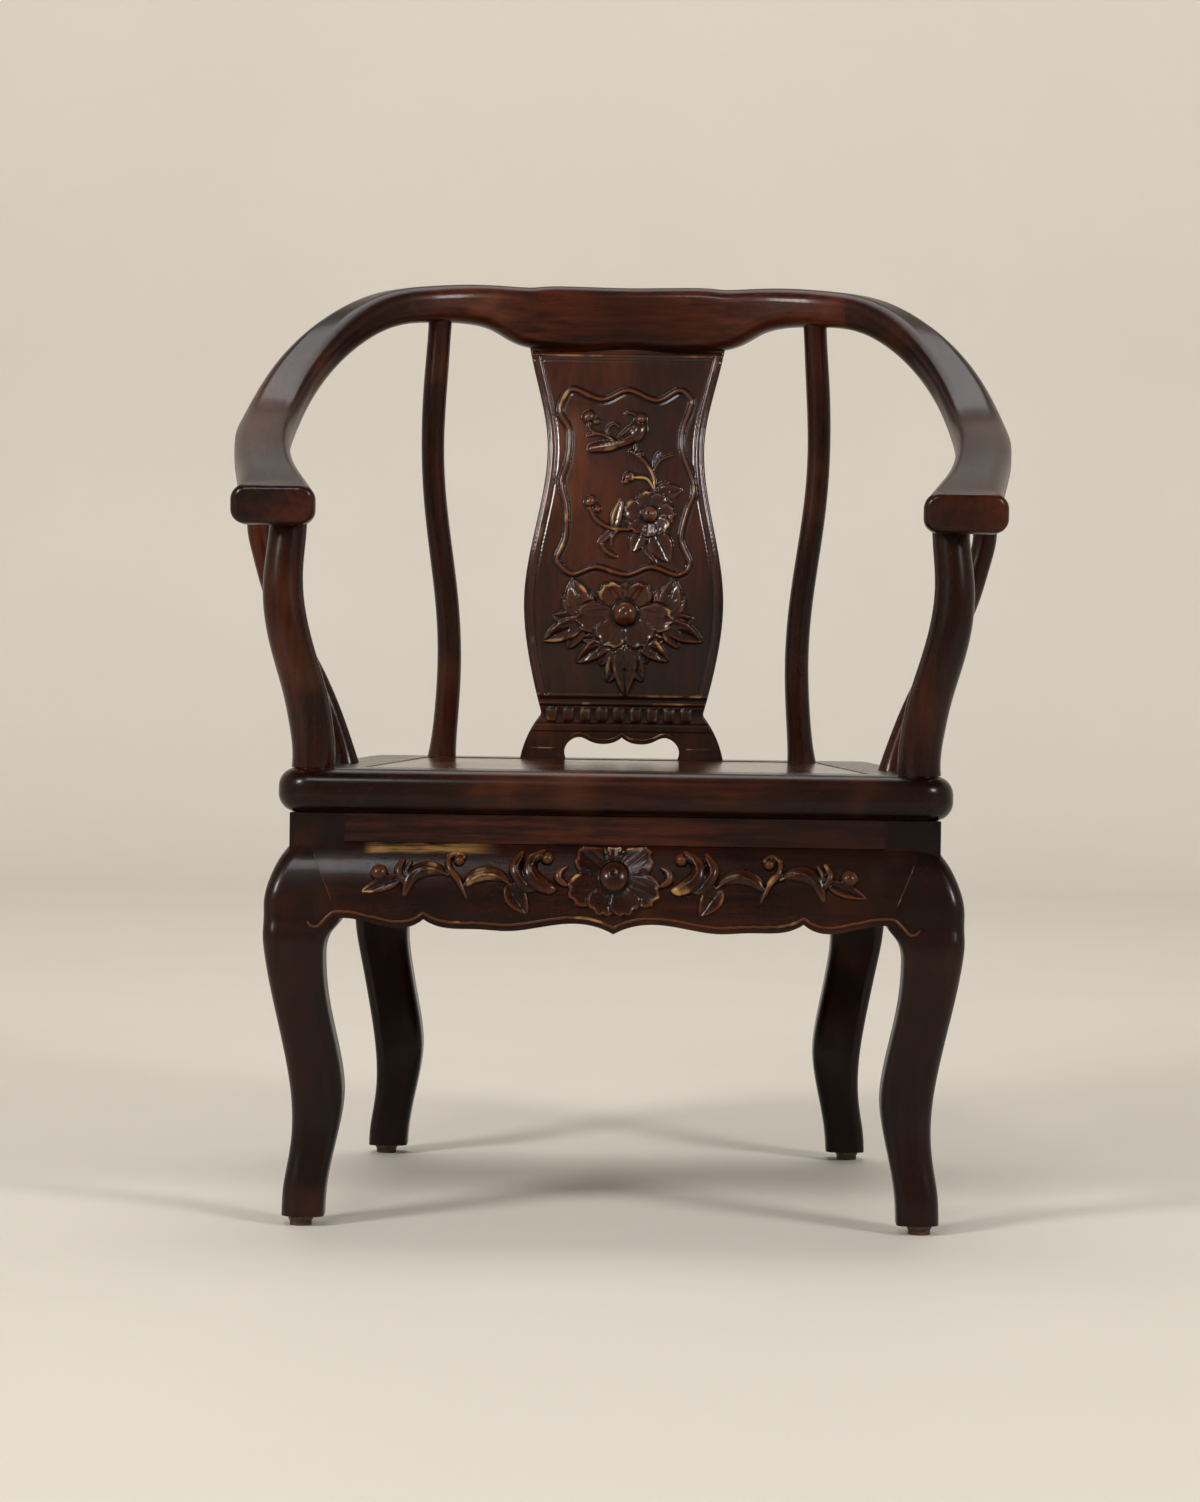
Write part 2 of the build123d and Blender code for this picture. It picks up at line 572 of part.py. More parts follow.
# ---- Seat batten, panel and frame -------------------------------------------
with BuildPart() as seat_batten:
    with BuildSketch(Plane.XY.offset(PANEL_FOOT)):
        Polygon(*seat_corners(SEAT_RAIL_WIDTH - BATTEN_HOUSING), align=None)
        Rectangle(SEAT_FRONT_WIDTH, BATTEN_WIDTH, mode=Mode.INTERSECT)
    extrude(amount=-BATTEN_THICKNESS)

with BuildPart() as seat_panel:
    with BuildSketch(Plane.XY.offset(PANEL_FOOT)):
        Polygon(*seat_corners(SEAT_RAIL_WIDTH + PANEL_GAP), align=None)
    extrude(amount=PANEL_THICKNESS)
    with BuildSketch(Plane.XY.offset(PANEL_FOOT)):
        Polygon(*seat_corners(SEAT_RAIL_WIDTH - TONGUE_DEPTH), align=None)
    extrude(amount=TONGUE_THICKNESS)

with BuildPart() as seat_frame:
    with BuildSketch(Plane.XY.offset(SEAT_UNDERSIDE)) as outline:
        Polygon(*seat_corners(0), align=None)
        fillet(outline.vertices(), SEAT_CORNER_RADIUS)
    extrude(amount=SEAT_RAIL_THICKNESS)
    fillet(seat_frame.edges().group_by(Axis.Z)[0], SEAT_NOSE_RADIUS)
    fillet(seat_frame.edges().group_by(Axis.Z)[-1], SEAT_NOSE_RADIUS)
    with BuildSketch(Plane.XY.offset(SEAT_UNDERSIDE)):
        Polygon(*seat_corners(SEAT_RAIL_WIDTH), align=None)
    extrude(amount=SEAT_RAIL_THICKNESS, mode=Mode.SUBTRACT)
    add(seat_panel.part, mode=Mode.SUBTRACT)
    add(seat_batten.part, mode=Mode.SUBTRACT)
    add(splat.part, mode=Mode.SUBTRACT)
    for post in posts.values():
        add(post, mode=Mode.SUBTRACT)
    for head in leg_heads.values():
        add(head.part, mode=Mode.SUBTRACT)
keep(seat_panel.part, "seat_panel")
keep(seat_batten.part, "seat_batten")

for index, side in enumerate(SIDES):
    inner = seat_corners(SEAT_RAIL_WIDTH)
    outer = seat_corners(-SEAT_RAIL_WIDTH)
    ends = (index, (index + 1) % 4)
    with BuildPart() as seat_rail:
        add(seat_frame.part)
        with BuildSketch(Plane.XY.offset(SEAT_UNDERSIDE)):
            Polygon(inner[ends[0]], outer[ends[0]], outer[ends[1]], inner[ends[1]], align=None)
        extrude(amount=SEAT_RAIL_THICKNESS, mode=Mode.INTERSECT)
    keep(seat_rail.part, f"{side}_seat_rail")
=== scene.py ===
import math

import bpy
import numpy as np
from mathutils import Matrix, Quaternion, Vector
from mathutils.bvhtree import BVHTree


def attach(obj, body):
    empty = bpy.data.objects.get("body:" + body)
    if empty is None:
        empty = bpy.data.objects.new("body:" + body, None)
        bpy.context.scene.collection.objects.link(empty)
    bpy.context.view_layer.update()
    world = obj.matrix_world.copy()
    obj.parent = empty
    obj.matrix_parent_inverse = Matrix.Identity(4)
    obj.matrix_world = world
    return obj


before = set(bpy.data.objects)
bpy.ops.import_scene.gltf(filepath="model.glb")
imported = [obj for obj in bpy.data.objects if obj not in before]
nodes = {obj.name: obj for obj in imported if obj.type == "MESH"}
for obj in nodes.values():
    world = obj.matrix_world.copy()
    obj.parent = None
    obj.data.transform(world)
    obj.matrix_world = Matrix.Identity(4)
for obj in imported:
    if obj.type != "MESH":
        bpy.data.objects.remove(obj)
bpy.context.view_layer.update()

# ---- Legs ------------------------------------------------------------------
# Four cabriole legs sawn from solid rosewood, stained nearly black and
# lacquered. The finish has rubbed thin in places, where the red of the wood
# shows through.

# a colour mix has several sockets of one name, so these go by number
MIX_SHARE, MIX_FIRST, MIX_SECOND, MIX_RESULT = 0, 6, 7, 2


class Thread:
    """A shader socket that takes sums and products, and the material that it belongs to."""

    def __init__(self, material, socket=None):
        self.material = material
        self.socket = socket

    def node(self, kind, inputs=None, out=0, **settings):
        """A new node with its settings and the values or links of its inputs."""
        made = self.material.node_tree.nodes.new(kind)
        for name, value in settings.items():
            setattr(made, name, value)
        for name, value in (inputs or {}).items():
            if isinstance(value, Thread):
                self.material.node_tree.links.new(value.socket, made.inputs[name])
            else:
                made.inputs[name].default_value = value
        return Thread(self.material, made.outputs[out] if made.outputs else None)

    def math(self, operation, first, second=0.0):
        return self.node("ShaderNodeMath", {0: first, 1: second}, operation=operation)

    def __add__(self, other):
        return self.math("ADD", self, other)

    def __radd__(self, other):
        return self.math("ADD", other, self)

    def __sub__(self, other):
        return self.math("SUBTRACT", self, other)

    def __rsub__(self, other):
        return self.math("SUBTRACT", other, self)

    def __mul__(self, other):
        return self.math("MULTIPLY", self, other)

    def __rmul__(self, other):
        return self.math("MULTIPLY", other, self)

    def __neg__(self):
        return self.math("MULTIPLY", self, -1.0)

    def clipped(self, low, high):
        """0 below low, 1 above high and smooth between."""
        return self.node("ShaderNodeMapRange", {"Value": self, "From Min": low, "From Max": high},
                         interpolation_type="SMOOTHSTEP")

    def between(self, first, second):
        """A colour from first to second by this value."""
        return self.node("ShaderNodeMix", {MIX_SHARE: self, MIX_FIRST: first, MIX_SECOND: second},
                         out=MIX_RESULT, data_type="RGBA")


def srgb(red, green, blue):
    """A colour written as it shows on a screen, 0 to 255, for a colour socket."""
    return tuple((channel / 255) ** 2.2 for channel in (red, green, blue)) + (1.0,)


def blank_material(name):
    """A material without nodes, ready for its first one."""
    material = bpy.data.materials.new(name)
    material.use_nodes = True
    material.node_tree.nodes.clear()
    return material


STAIN_DARK = srgb(15, 7, 4)
STAIN_RED = srgb(86, 40, 21)
STAIN_WORN = srgb(112, 64, 34)
STAIN_BARE = srgb(150, 112, 66)
FIGURE_SIZE = 9.0            # grain bands to the metre across the board
FIGURE_STRETCH = 0.09        # along the grain they are this much slower
STREAK_SIZE = 170.0          # the sizes below are to the metre too
PORE_SIZE = 1100.0
PATCH_SIZE = 11.0
ZONE_SIZE = 5.5
SPOT_SIZE = 38.0
LACQUER_SHINE = 0.13
LACQUER_COAT = 0.14
LACQUER_COAT_ROUGHNESS = 0.12
GRAIN_DEPTH = 0.0006
BAND_LEFT = -0.200           # a pale band along an upper edge, across the chair
BAND_RIGHT = -0.090
BAND_LEFT_FADE = 0.010
BAND_RIGHT_FADE = 0.040


def rosewood(name, grain, red=0.45, gloss=0.32, worn=0.0, coat=LACQUER_COAT, carved=False, edge=None):
    """Stained and lacquered rosewood, its grain along axis 0, 1 or 2; edge is the height of a pale band along
    an upper edge.
    """
    material = blank_material(name)
    wood = Thread(material)
    stretch = [1.0, 1.0, 1.0]
    stretch[grain] = FIGURE_STRETCH
    place = wood.node("ShaderNodeTexCoord", out="Object")
    board = wood.node("ShaderNodeMapping", {"Vector": place, "Scale": stretch})
    figure = wood.node("ShaderNodeTexNoise",
                       {"Vector": board, "Scale": FIGURE_SIZE, "Detail": 4.0, "Distortion": 0.9})
    streaks = wood.node("ShaderNodeTexNoise",
                        {"Vector": board, "Scale": STREAK_SIZE, "Detail": 6.0, "Roughness": 0.62})
    pores = wood.node("ShaderNodeTexNoise", {"Vector": board, "Scale": PORE_SIZE, "Detail": 2.0})
    patches = wood.node("ShaderNodeTexNoise", {"Vector": place, "Scale": PATCH_SIZE, "Detail": 3.0})
    zones = wood.node("ShaderNodeTexNoise",
                      {"Vector": place, "Scale": ZONE_SIZE, "Detail": 2.0, "Distortion": 0.5})
    open_pores = pores.clipped(0.60, 0.72)
    tone = figure.clipped(0.30, 0.72) * 0.62 + streaks.clipped(0.35, 0.70) * 0.38
    colour = (tone * red * (zones.clipped(0.32, 0.70) * 1.1 + 0.35)).between(STAIN_DARK, STAIN_RED)
    rubbed = patches.clipped(0.56, 0.78) * worn
    bare = 0.0
    if carved:
        # the carving's crest height: above zero its crests are worn, below zero its hollows get painted shade
        crest = wood.node("ShaderNodeAttribute", out="Fac", attribute_name="rubbed")
        spots = wood.node("ShaderNodeTexNoise", {"Vector": place, "Scale": SPOT_SIZE, "Detail": 2.0})
        bare = crest.clipped(0.15, 0.75) * spots.clipped(0.57, 0.67)
        rubbed = wood.math("MAXIMUM", rubbed, crest.clipped(0.1, 0.9) * 0.35)
    if edge:
        across = wood.node("ShaderNodeSeparateXYZ", {"Vector": place}, out="X")
        upright = wood.node("ShaderNodeSeparateXYZ", {"Vector": place}, out="Z")
        ragged = upright + streaks * 0.004 - patches * 0.003
        band = ragged.clipped(edge - 0.0016, edge + 0.0022)
        band = band * across.clipped(BAND_LEFT, BAND_LEFT + BAND_LEFT_FADE)
        band = band * (-across).clipped(-BAND_RIGHT, -BAND_RIGHT + BAND_RIGHT_FADE)
        # the pale band goes in with the bare spots and takes their colour
        bare = wood.math("MAXIMUM", bare, band * (streaks.clipped(0.36, 0.62) * 0.62))
    colour = rubbed.between(colour, STAIN_WORN)
    if carved:
        colour = bare.between(colour, STAIN_BARE)
        # painted shade: the hollows of the carving are darkened towards the darkest stain
        colour = (-crest).clipped(0.05, 0.6).between(colour, STAIN_DARK)
    colour = (open_pores * 0.5).between(colour, STAIN_DARK)
    bump = wood.node("ShaderNodeBump", {"Height": streaks * 0.5 - open_pores * 0.6,
                                        "Strength": 0.18, "Distance": GRAIN_DEPTH})
    shader = wood.node("ShaderNodeBsdfPrincipled", {
        "Base Color": colour,
        "Roughness": gloss + patches * 0.16 + open_pores * 0.1,
        "Normal": bump,
        "Specular IOR Level": LACQUER_SHINE,
        "Coat Weight": coat,
        "Coat Roughness": LACQUER_COAT_ROUGHNESS,
    })
    wood.node("ShaderNodeOutputMaterial", {"Surface": shader})
    return material


def finish(names, material):
    """Gives CAD nodes their material."""
    for name in names:
        slots = nodes[name].data.materials
        slots.clear()
        slots.append(material)


finish(["front_left_leg", "front_right_leg", "back_left_leg", "back_right_leg"],
       rosewood("leg rosewood", grain=2, red=0.12, gloss=0.22, worn=0.12))

# ---- Glides ----------------------------------------------------------------
# A steel cup nailed under each foot holds a hard brown pad, so that the legs
# slide without marking a floor.


def plain_finish(name, colour, rough, mottle, metal=0.0, shift=0.6):
    """A smooth finish whose colour and gloss vary a little."""
    material = blank_material(name)
    base = Thread(material)
    place = base.node("ShaderNodeTexCoord", out="Object")
    spots = base.node("ShaderNodeTexNoise", {"Vector": place, "Scale": mottle, "Detail": 4.0})
    darker = tuple(channel * shift for channel in colour[:3]) + (1.0,)
    bump = base.node("ShaderNodeBump", {"Height": spots, "Strength": 0.1, "Distance": 0.0004})
    shader = base.node("ShaderNodeBsdfPrincipled", {
        "Base Color": spots.clipped(0.3, 0.7).between(colour, darker),
        "Roughness": rough + spots * 0.2,
        "Metallic": metal,
        "Normal": bump,
    })
    base.node("ShaderNodeOutputMaterial", {"Surface": shader})
    return material


finish(["glide_cups"], plain_finish("glide steel", srgb(96, 84, 74), 0.42, mottle=400.0, metal=0.9))
finish(["glide_pads"], plain_finish("glide pad", srgb(74, 54, 42), 0.6, mottle=600.0))

# ---- Waist -----------------------------------------------------------------
# Narrow rosewood boards set back between the seat frame and the aprons. They
# run from leg head to leg head and are the plainest wood of the chair.

finish(["front_waist", "back_waist"], rosewood("waist rosewood across", grain=0, red=0.9, worn=0.2))
finish(["left_waist", "right_waist"], rosewood("waist rosewood along", grain=1, red=0.9, worn=0.2))

# ---- Seat frame and panel --------------------------------------------------
# Four rosewood rails with a bullnosed edge hold a thin panel in a groove. The
# panel has the highest polish of the chair, and a plain batten stiffens it.

finish(["front_seat_rail", "back_seat_rail"],
       rosewood("seat rosewood across", grain=0, red=0.4, gloss=0.2, worn=0.2))
finish(["left_seat_rail", "right_seat_rail"],
       rosewood("seat rosewood along", grain=1, red=0.4, gloss=0.2, worn=0.2))
finish(["seat_panel"], rosewood("polished panel", grain=0, red=0.8, gloss=0.11, coat=0.3))
finish(["seat_batten"], rosewood("batten rosewood", grain=0, red=0.7, gloss=0.45))

# ---- Posts -----------------------------------------------------------------
# Slim round rosewood posts shaved to their curves: two goose-necks under the
# hand grips, two that lean out under the arms and two beside the splat.

finish([f"{hand}_{place}_post" for hand in ("left", "right") for place in ("front", "side", "back")],
       rosewood("post rosewood", grain=2, red=0.42, gloss=0.15, worn=0.2))

# ---- Horseshoe rail --------------------------------------------------------
# Three curved lengths of rosewood, scarfed and pinned into one sweep that is
# back rail and arms. Hands have rubbed its lacquer to a soft gloss.

finish(["crest_rail"], rosewood("crest rosewood", grain=0, red=0.8, gloss=0.24, worn=0.4))
finish(["left_arm_rail", "right_arm_rail", "scarf_pins"],
       rosewood("arm rosewood", grain=1, red=0.5, gloss=0.24, worn=0.25))

# ---- Splat -----------------------------------------------------------------
# An S-curved rosewood board tongued into the crest and the rear seat rail.
# Its ground was cut back with gouges, so that bird, blossoms, leaves and
# mouldings stand proud of a face that still shows the tool.

SPLAT_LOW = 380.0            # the carved face starts above the arch of the foot, in millimetres
SPLAT_HIGH = 732.0
CARVED_STEP = 0.75
BELOW_ALL = -9               # a height under every other one
DEEPEST_CUT = -0.7
MILLIMETRES = 1000           # to the metre


def smooth_line(points, closed=False, spacing=1.0):
    """Points about a spacing apart on a smooth line through the given ones."""
    points = np.array(points, float)
    before = points[-1:] if closed else points[:1]
    after = points[:2] if closed else points[-1:]
    guide = np.vstack([before, points, after])
    line = []
    for first, second, third, fourth in zip(guide, guide[1:], guide[2:], guide[3:]):
        count = max(2, int(np.linalg.norm((third - second)[:2]) / spacing))
        for share in np.arange(count) / count:
            line.append(0.5 * (2 * second + (third - first) * share
                               + (2 * first - 5 * second + 4 * third - fourth) * share ** 2
                               + (3 * second - first - 3 * third + fourth) * share ** 3))
    line.append(points[0] if closed else points[-1])
    return np.array(line)


def blurred(grid, rounds):
    """A grid whose values are evened out with those two places away."""
    for _ in range(rounds):
        grid = (grid + np.roll(grid, 2, 0) + np.roll(grid, -2, 0)
                + np.roll(grid, 2, 1) + np.roll(grid, -2, 1)) / 5
    return grid


def turned(across, up, centre, turn):
    """Places as distances along and beside a direction from a centre."""
    cosine, sine = math.cos(math.radians(turn)), math.sin(math.radians(turn))
    along = (across - centre[0]) * cosine + (up - centre[1]) * sine
    beside = (up - centre[1]) * cosine - (across - centre[0]) * sine
    return along, beside


class Relief:
    """Carved heights in millimetres over a board, on a grid of places across and up it."""

    def __init__(self, left, right, low, high, step):
        self.across = np.arange(left, right + step / 2, step)
        self.up = np.arange(low, high + step / 2, step)
        self.height = np.zeros((len(self.up), len(self.across)))

    def window(self, low, high):
        """The grid inside a box: places across, places up, and the heights to change."""
        columns = slice(*np.searchsorted(self.across, (low[0], high[0])))
        rows = slice(*np.searchsorted(self.up, (low[1], high[1])))
        across, up = np.meshgrid(self.across[columns], self.up[rows])
        return across, up, self.height[rows, columns]

    def around(self, centre, reach):
        """The window that reaches as far as this to every side."""
        return self.window(np.subtract(centre, reach), np.add(centre, reach))

    def ridge(self, points, closed=False):
        """A rounded bead, or a groove, along a line of (across, up, width, height) points."""
        line = smooth_line(points, closed)
        for first, second in zip(line, line[1:]):
            half, crown = abs(first[2]) / 2, first[3]
            across, up, here = self.window(np.minimum(first, second)[:2] - half,
                                           np.maximum(first, second)[:2] + half)
            run = (second - first)[:2]
            share = ((across - first[0]) * run[0] + (up - first[1]) * run[1]) / max(run @ run, 1e-9)
            share = np.clip(share, 0, 1)
            away = np.hypot(across - first[0] - share * run[0], up - first[1] - share * run[1])
            round_top = crown * np.clip(1 - (away / half) ** 2, 0, 1) ** 0.6
            bead = np.where(away < half, round_top, BELOW_ALL)
            if crown < 0:
                here[:] = np.where(away < half, np.minimum(here, bead), here)
            else:
                here[:] = np.maximum(here, bead)

    def mound(self, centre, long, wide, height, turn=0.0, dimple=0.0):
        """A rounded swelling, turned by some degrees, with a dimple if it is a seed head."""
        across, up, here = self.around(centre, max(long, wide))
        along, beside = turned(across, up, centre, turn)
        along, beside = along / long, beside / wide
        away = along ** 2 + beside ** 2
        swell = height * np.clip(1 - away, 0, 1) ** 0.5
        swell -= dimple * np.exp(-(along ** 2 + (beside - 0.15) ** 2) / 0.05)
        here[:] = np.where(away < 1, np.maximum(here, swell), here)

    def leaf(self, base, tip, width, height, veins=5):
        """A pointed leaf, hollow between its edge and a cut midrib."""
        base, axis = np.array(base, float), np.subtract(tip, base)
        length = math.hypot(*axis)
        across, up, here = self.window(np.minimum(base, tip) - width, np.maximum(base, tip) + width)
        along = ((across - base[0]) * axis[0] + (up - base[1]) * axis[1]) / length ** 2
        beside = ((up - base[1]) * axis[0] - (across - base[0]) * axis[1]) / length
        inside = np.clip(along, 0, 1)
        share = np.abs(beside) / (width / 2 * np.sin(np.pi * inside ** 0.75) ** 0.7 + 0.01)
        blade = (0.58 + 0.42 * share ** 1.6) * np.clip(1 - share ** 7, 0, 1) ** 0.5
        blade *= 0.66 + 0.34 * np.sin(np.pi * inside ** 0.9)
        blade -= 0.20 * np.exp(-(beside / 0.9) ** 2)
        blade -= 0.05 * np.clip(np.cos(2 * np.pi * (veins * along - 0.9 * share)), 0, 1) ** 4
        fits = (along > 0) & (along < 1) & (share < 1)
        here[:] = np.where(fits, np.maximum(here, height * np.clip(blade, 0.1, 1.2)), here)

    def lobed_leaf(self, base, tip, width, height, spread=38, side=0.62):
        """A leaf of three lobes, the middle one the longest and highest."""
        axis = np.subtract(tip, base)
        for turn in (-spread, spread):
            cosine, sine = math.cos(math.radians(turn)), math.sin(math.radians(turn))
            lobe = np.array([axis[0] * cosine - axis[1] * sine, axis[0] * sine + axis[1] * cosine])
            start = np.add(base, axis * 0.10)
            self.leaf(start, start + lobe * side, width * 0.60, height * 0.85, veins=2)
        self.leaf(base, tip, width * 0.70, height, veins=3)

    def petal(self, centre, turn, reach, width, height, hub):
        """A cupped petal that rises from the hub to a ruffled rim and hides what it covers."""
        across, up, here = self.around(centre, reach * 1.1)
        out, beside = turned(across, up, centre, turn)
        ruffle = 1 + 0.035 * np.cos(beside / width * 19)
        share = np.clip((out - hub * 0.4) / (reach - hub * 0.4) / ruffle, 0, 1)
        spread = np.maximum(np.sin(np.pi * share ** 1.6) ** 0.5, 0.5 * (share < 0.5))
        edge = np.abs(beside) / (width / 2 * spread + 0.01)
        cup = (0.14 + 0.86 * share ** 1.1) * (0.55 + 0.45 * edge ** 2)
        cup *= np.clip(1 - edge ** 8, 0, 1) ** 0.5
        cup -= 0.035 * np.clip(np.cos(beside / width * 34), 0, 1) ** 2 * np.sin(np.pi * share)
        near = (out > 0) & (out < reach + 1.2) & (np.abs(beside) < width / 2 + 1.2)
        near &= np.hypot(out - reach * 0.62, beside) < width / 2 + 1.6
        here[:] = np.where(near & (here > 0), np.minimum(here, height * 0.35), here)
        fits = (share > 0) & (share < 1) & (edge < 1)
        here[:] = np.where(fits, height * np.clip(cup, 0.05, 1.2), here)

    def blossom(self, centre, hub, height, petals):
        """Petals of (turn, reach, width) about a seed head that sits in a small moat."""
        for turn, reach, width in petals:
            self.petal(centre, turn, reach, width, height, hub)
        moat, bottom = hub * 1.35, height * 0.15
        across, up, here = self.around(centre, moat)
        away = np.clip((np.hypot(across - centre[0], up - centre[1]) - hub) / (moat - hub), 0, 1)
        here[:] = bottom + (np.maximum(here, bottom) - bottom) * away ** 0.7
        self.mound(centre, hub, hub, height * 1.35, dimple=height * 0.16)

    def crests(self):
        """How far each place stands above (1) or lies under (-1) those around it."""
        return np.clip((self.height - blurred(self.height, 4)) / 1.1, -1, 1)


def search_tree(names):
    """The faces of some CAD nodes, for rays to meet."""
    points, faces = [], []
    for name in names:
        mesh = nodes[name].data
        start = len(points)
        points += [vertex.co.copy() for vertex in mesh.vertices]
        faces += [[start + corner for corner in face.vertices] for face in mesh.polygons]
    return BVHTree.FromPolygons(points, faces)


def fixed_piece(name, points, faces, rubbed, material):
    """A smooth piece that rides on the chair; rubbed says where its finish is worn, and below zero where its
    hollows get painted shade.
    """
    mesh = bpy.data.meshes.new(name)
    mesh.from_pydata(points, [], faces)
    mesh.attributes.new("rubbed", "FLOAT", "POINT").data.foreach_set("value", rubbed)
    mesh.shade_smooth()
    mesh.materials.append(material)
    piece = bpy.data.objects.new(name, mesh)
    bpy.context.scene.collection.objects.link(piece)
    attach(piece, "root")


def carved_sheet(name, places, kept, rubbed, material, flipped=False):
    """A smooth sheet over the kept places of a grid, in metres, fixed to the chair."""
    corner = np.arange(kept.size).reshape(kept.shape)
    quads = np.stack([corner[:-1, :-1], corner[:-1, 1:], corner[1:, 1:], corner[1:, :-1]], -1)
    quads = quads.reshape(-1, 4)[:, ::-1 if flipped else 1]
    met = np.isfinite(places).all(-1).ravel()
    quads = quads[kept.ravel()[quads].any(1) & met[quads].all(1)]
    used, faces = np.unique(quads, return_inverse=True)
    fixed_piece(name, places.reshape(-1, 3)[used].tolist(), faces.reshape(-1, 4).tolist(),
                rubbed.ravel()[used], material)


BEAD_SIDES = 7               # points over the back of a bead


def ridge_on(name, tree, starts, direction, radius, material):
    """A half-round bead along a line of ray starts, laid on what the rays meet."""
    centres, normals = [], []
    for start in starts:
        place, normal, _, _ = tree.ray_cast(Vector(start), Vector(direction))
        if place is not None:
            centres.append(place)
            normals.append(normal if normal.dot(Vector(direction)) < 0 else -normal)
    points, faces = [], []
    last = len(centres) - 1
    for i, (centre, normal) in enumerate(zip(centres, normals)):
        run = (centres[min(i + 1, last)] - centres[max(i - 1, 0)]).normalized()
        side = normal.cross(run)
        size = radius * min(1.0, 0.35 + 0.25 * min(i, last - i))
        for k in range(BEAD_SIDES):
            turn = math.pi * (k / (BEAD_SIDES - 1)) * 1.1 - 0.05 * math.pi
            points.append(centre + side * (size * math.cos(turn)) + normal * (size * math.sin(turn) * 0.9))
    for i in range(last):
        for k in range(BEAD_SIDES - 1):
            low = i * BEAD_SIDES + k
            faces.append((low, low + BEAD_SIDES, low + BEAD_SIDES + 1, low + 1))
    rubbed = [1.0 if 1 < i % BEAD_SIDES < 5 else 0.0 for i in range(len(points))]
    fixed_piece(name, points, faces, rubbed, material)


def bird_on_branch(board):
    """A bird that looks left from a branch with a bud, at the top of the cartouche."""
    board.ridge([(5, 629, 4.4, 2.6), (14, 623, 4.2, 2.6), (21, 615, 3.8, 2.6), (25, 605, 3.4, 2.4),
                 (26, 592, 3.2, 2.2)])
    board.ridge([(-33, 643, 3.2, 2.0), (-23, 644.5, 3.4, 2.4), (-11, 639, 3.0, 2.4)])
    board.ridge([(-34, 656, 2.6, 2.0), (-32, 648.5, 2.8, 2.2), (-25, 644, 3.0, 2.4)])
    board.ridge([(-17, 645, 2.4, 1.8), (-15.5, 651, 2.6, 2.2), (-10, 653.5, 2.6, 2.4), (-6, 651, 2.4, 2.0)])
    board.mound((-33.5, 660), 5.8, 5.0, 4.0, turn=30)
    board.mound((-26.5, 655.5), 3.6, 3.0, 3.0)
    # tail and back, body, head, beak, wing, leg and foot
    board.ridge([(9, 642, 10.0, 4.4), (-4, 636.5, 8.5, 4.2), (-16, 633.5, 10.5, 3.8), (-30, 631.5, 8.0, 2.8)])
    board.ridge([(5.8, 655, 1.6, 3.6), (5, 646, 1.6, 4.2), (-3, 639.5, 1.6, 4.2), (-24, 634.5, 1.4, 3.4)])
    board.mound((9.8, 647), 11.5, 8.0, 6.0, turn=62)
    board.mound((12.8, 658.3), 5.4, 5.0, 6.4)
    board.ridge([(10, 661, 2.6, 3.4), (4, 663.5, 2.2, 2.8), (-1.5, 662.5, 1.0, 1.8)])
    board.leaf((12, 652), (-8, 638.5), 9.5, 7.4, veins=3)
    board.ridge([(8.5, 636, 1.8, 2.6), (8, 628, 1.8, 2.8)])
    board.mound((11.5, 627), 3.4, 2.6, 3.2, turn=30)
    # a twig with a leaf, to the right of it
    board.ridge([(25, 613, 3.0, 2.2), (31, 622, 2.8, 2.2), (42, 626.5, 2.4, 1.8)])
    board.leaf((26, 615), (30, 630), 6.0, 2.4, veins=3)


def small_blossom(board):
    """The blossom under the bird, with its buds, stems and leaves."""
    board.ridge([(7, 606, 3.4, 2.2), (19, 605, 3.4, 2.6), (25.5, 596, 3.2, 2.4)])
    board.mound((3.5, 606.5), 5.2, 4.4, 3.6)
    board.mound((0.5, 602.5), 3.2, 2.6, 2.6)
    board.lobed_leaf((28, 591), (50.5, 596), 21, 3.0)
    board.mound((-31, 584.5), 5.4, 4.8, 4.0, turn=40)
    board.mound((-24.5, 577.5), 3.6, 3.2, 3.2)
    board.ridge([(-31, 578, 3.4, 2.2), (-25, 568, 3.6, 2.6), (-12, 560.5, 4.0, 2.8), (5, 560, 4.0, 2.8)])
    board.leaf((-9.5, 562), (-3.5, 587), 9.5, 2.6)
    board.ridge([(4, 560, 3.6, 2.6), (-5, 559.5, 3.6, 2.8), (-11, 553, 3.2, 2.6), (-11.5, 546, 2.6, 1.8)])
    board.leaf((-11, 559), (-23.5, 546.5), 6.5, 2.6, veins=3)
    board.ridge([(-20.5, 546.5, 3.0, 2.0), (-15, 539.5, 4.0, 2.6), (-7.5, 535.5, 3.0, 2.0)])
    board.leaf((15, 558), (7, 540), 15.0, 3.0)
    board.leaf((26, 558), (40, 531.5), 22.0, 3.6)
    board.leaf((14, 548), (29, 529.5), 6.0, 2.2, veins=3)
    board.blossom((21.7, 574), 7.8, 6.2,
                  [(turn, reach, 19) for turn, reach in
                   ((100, 20), (48, 20.5), (-2, 22), (-48, 21), (-95, 20.5), (-143, 21.5), (168, 22))])


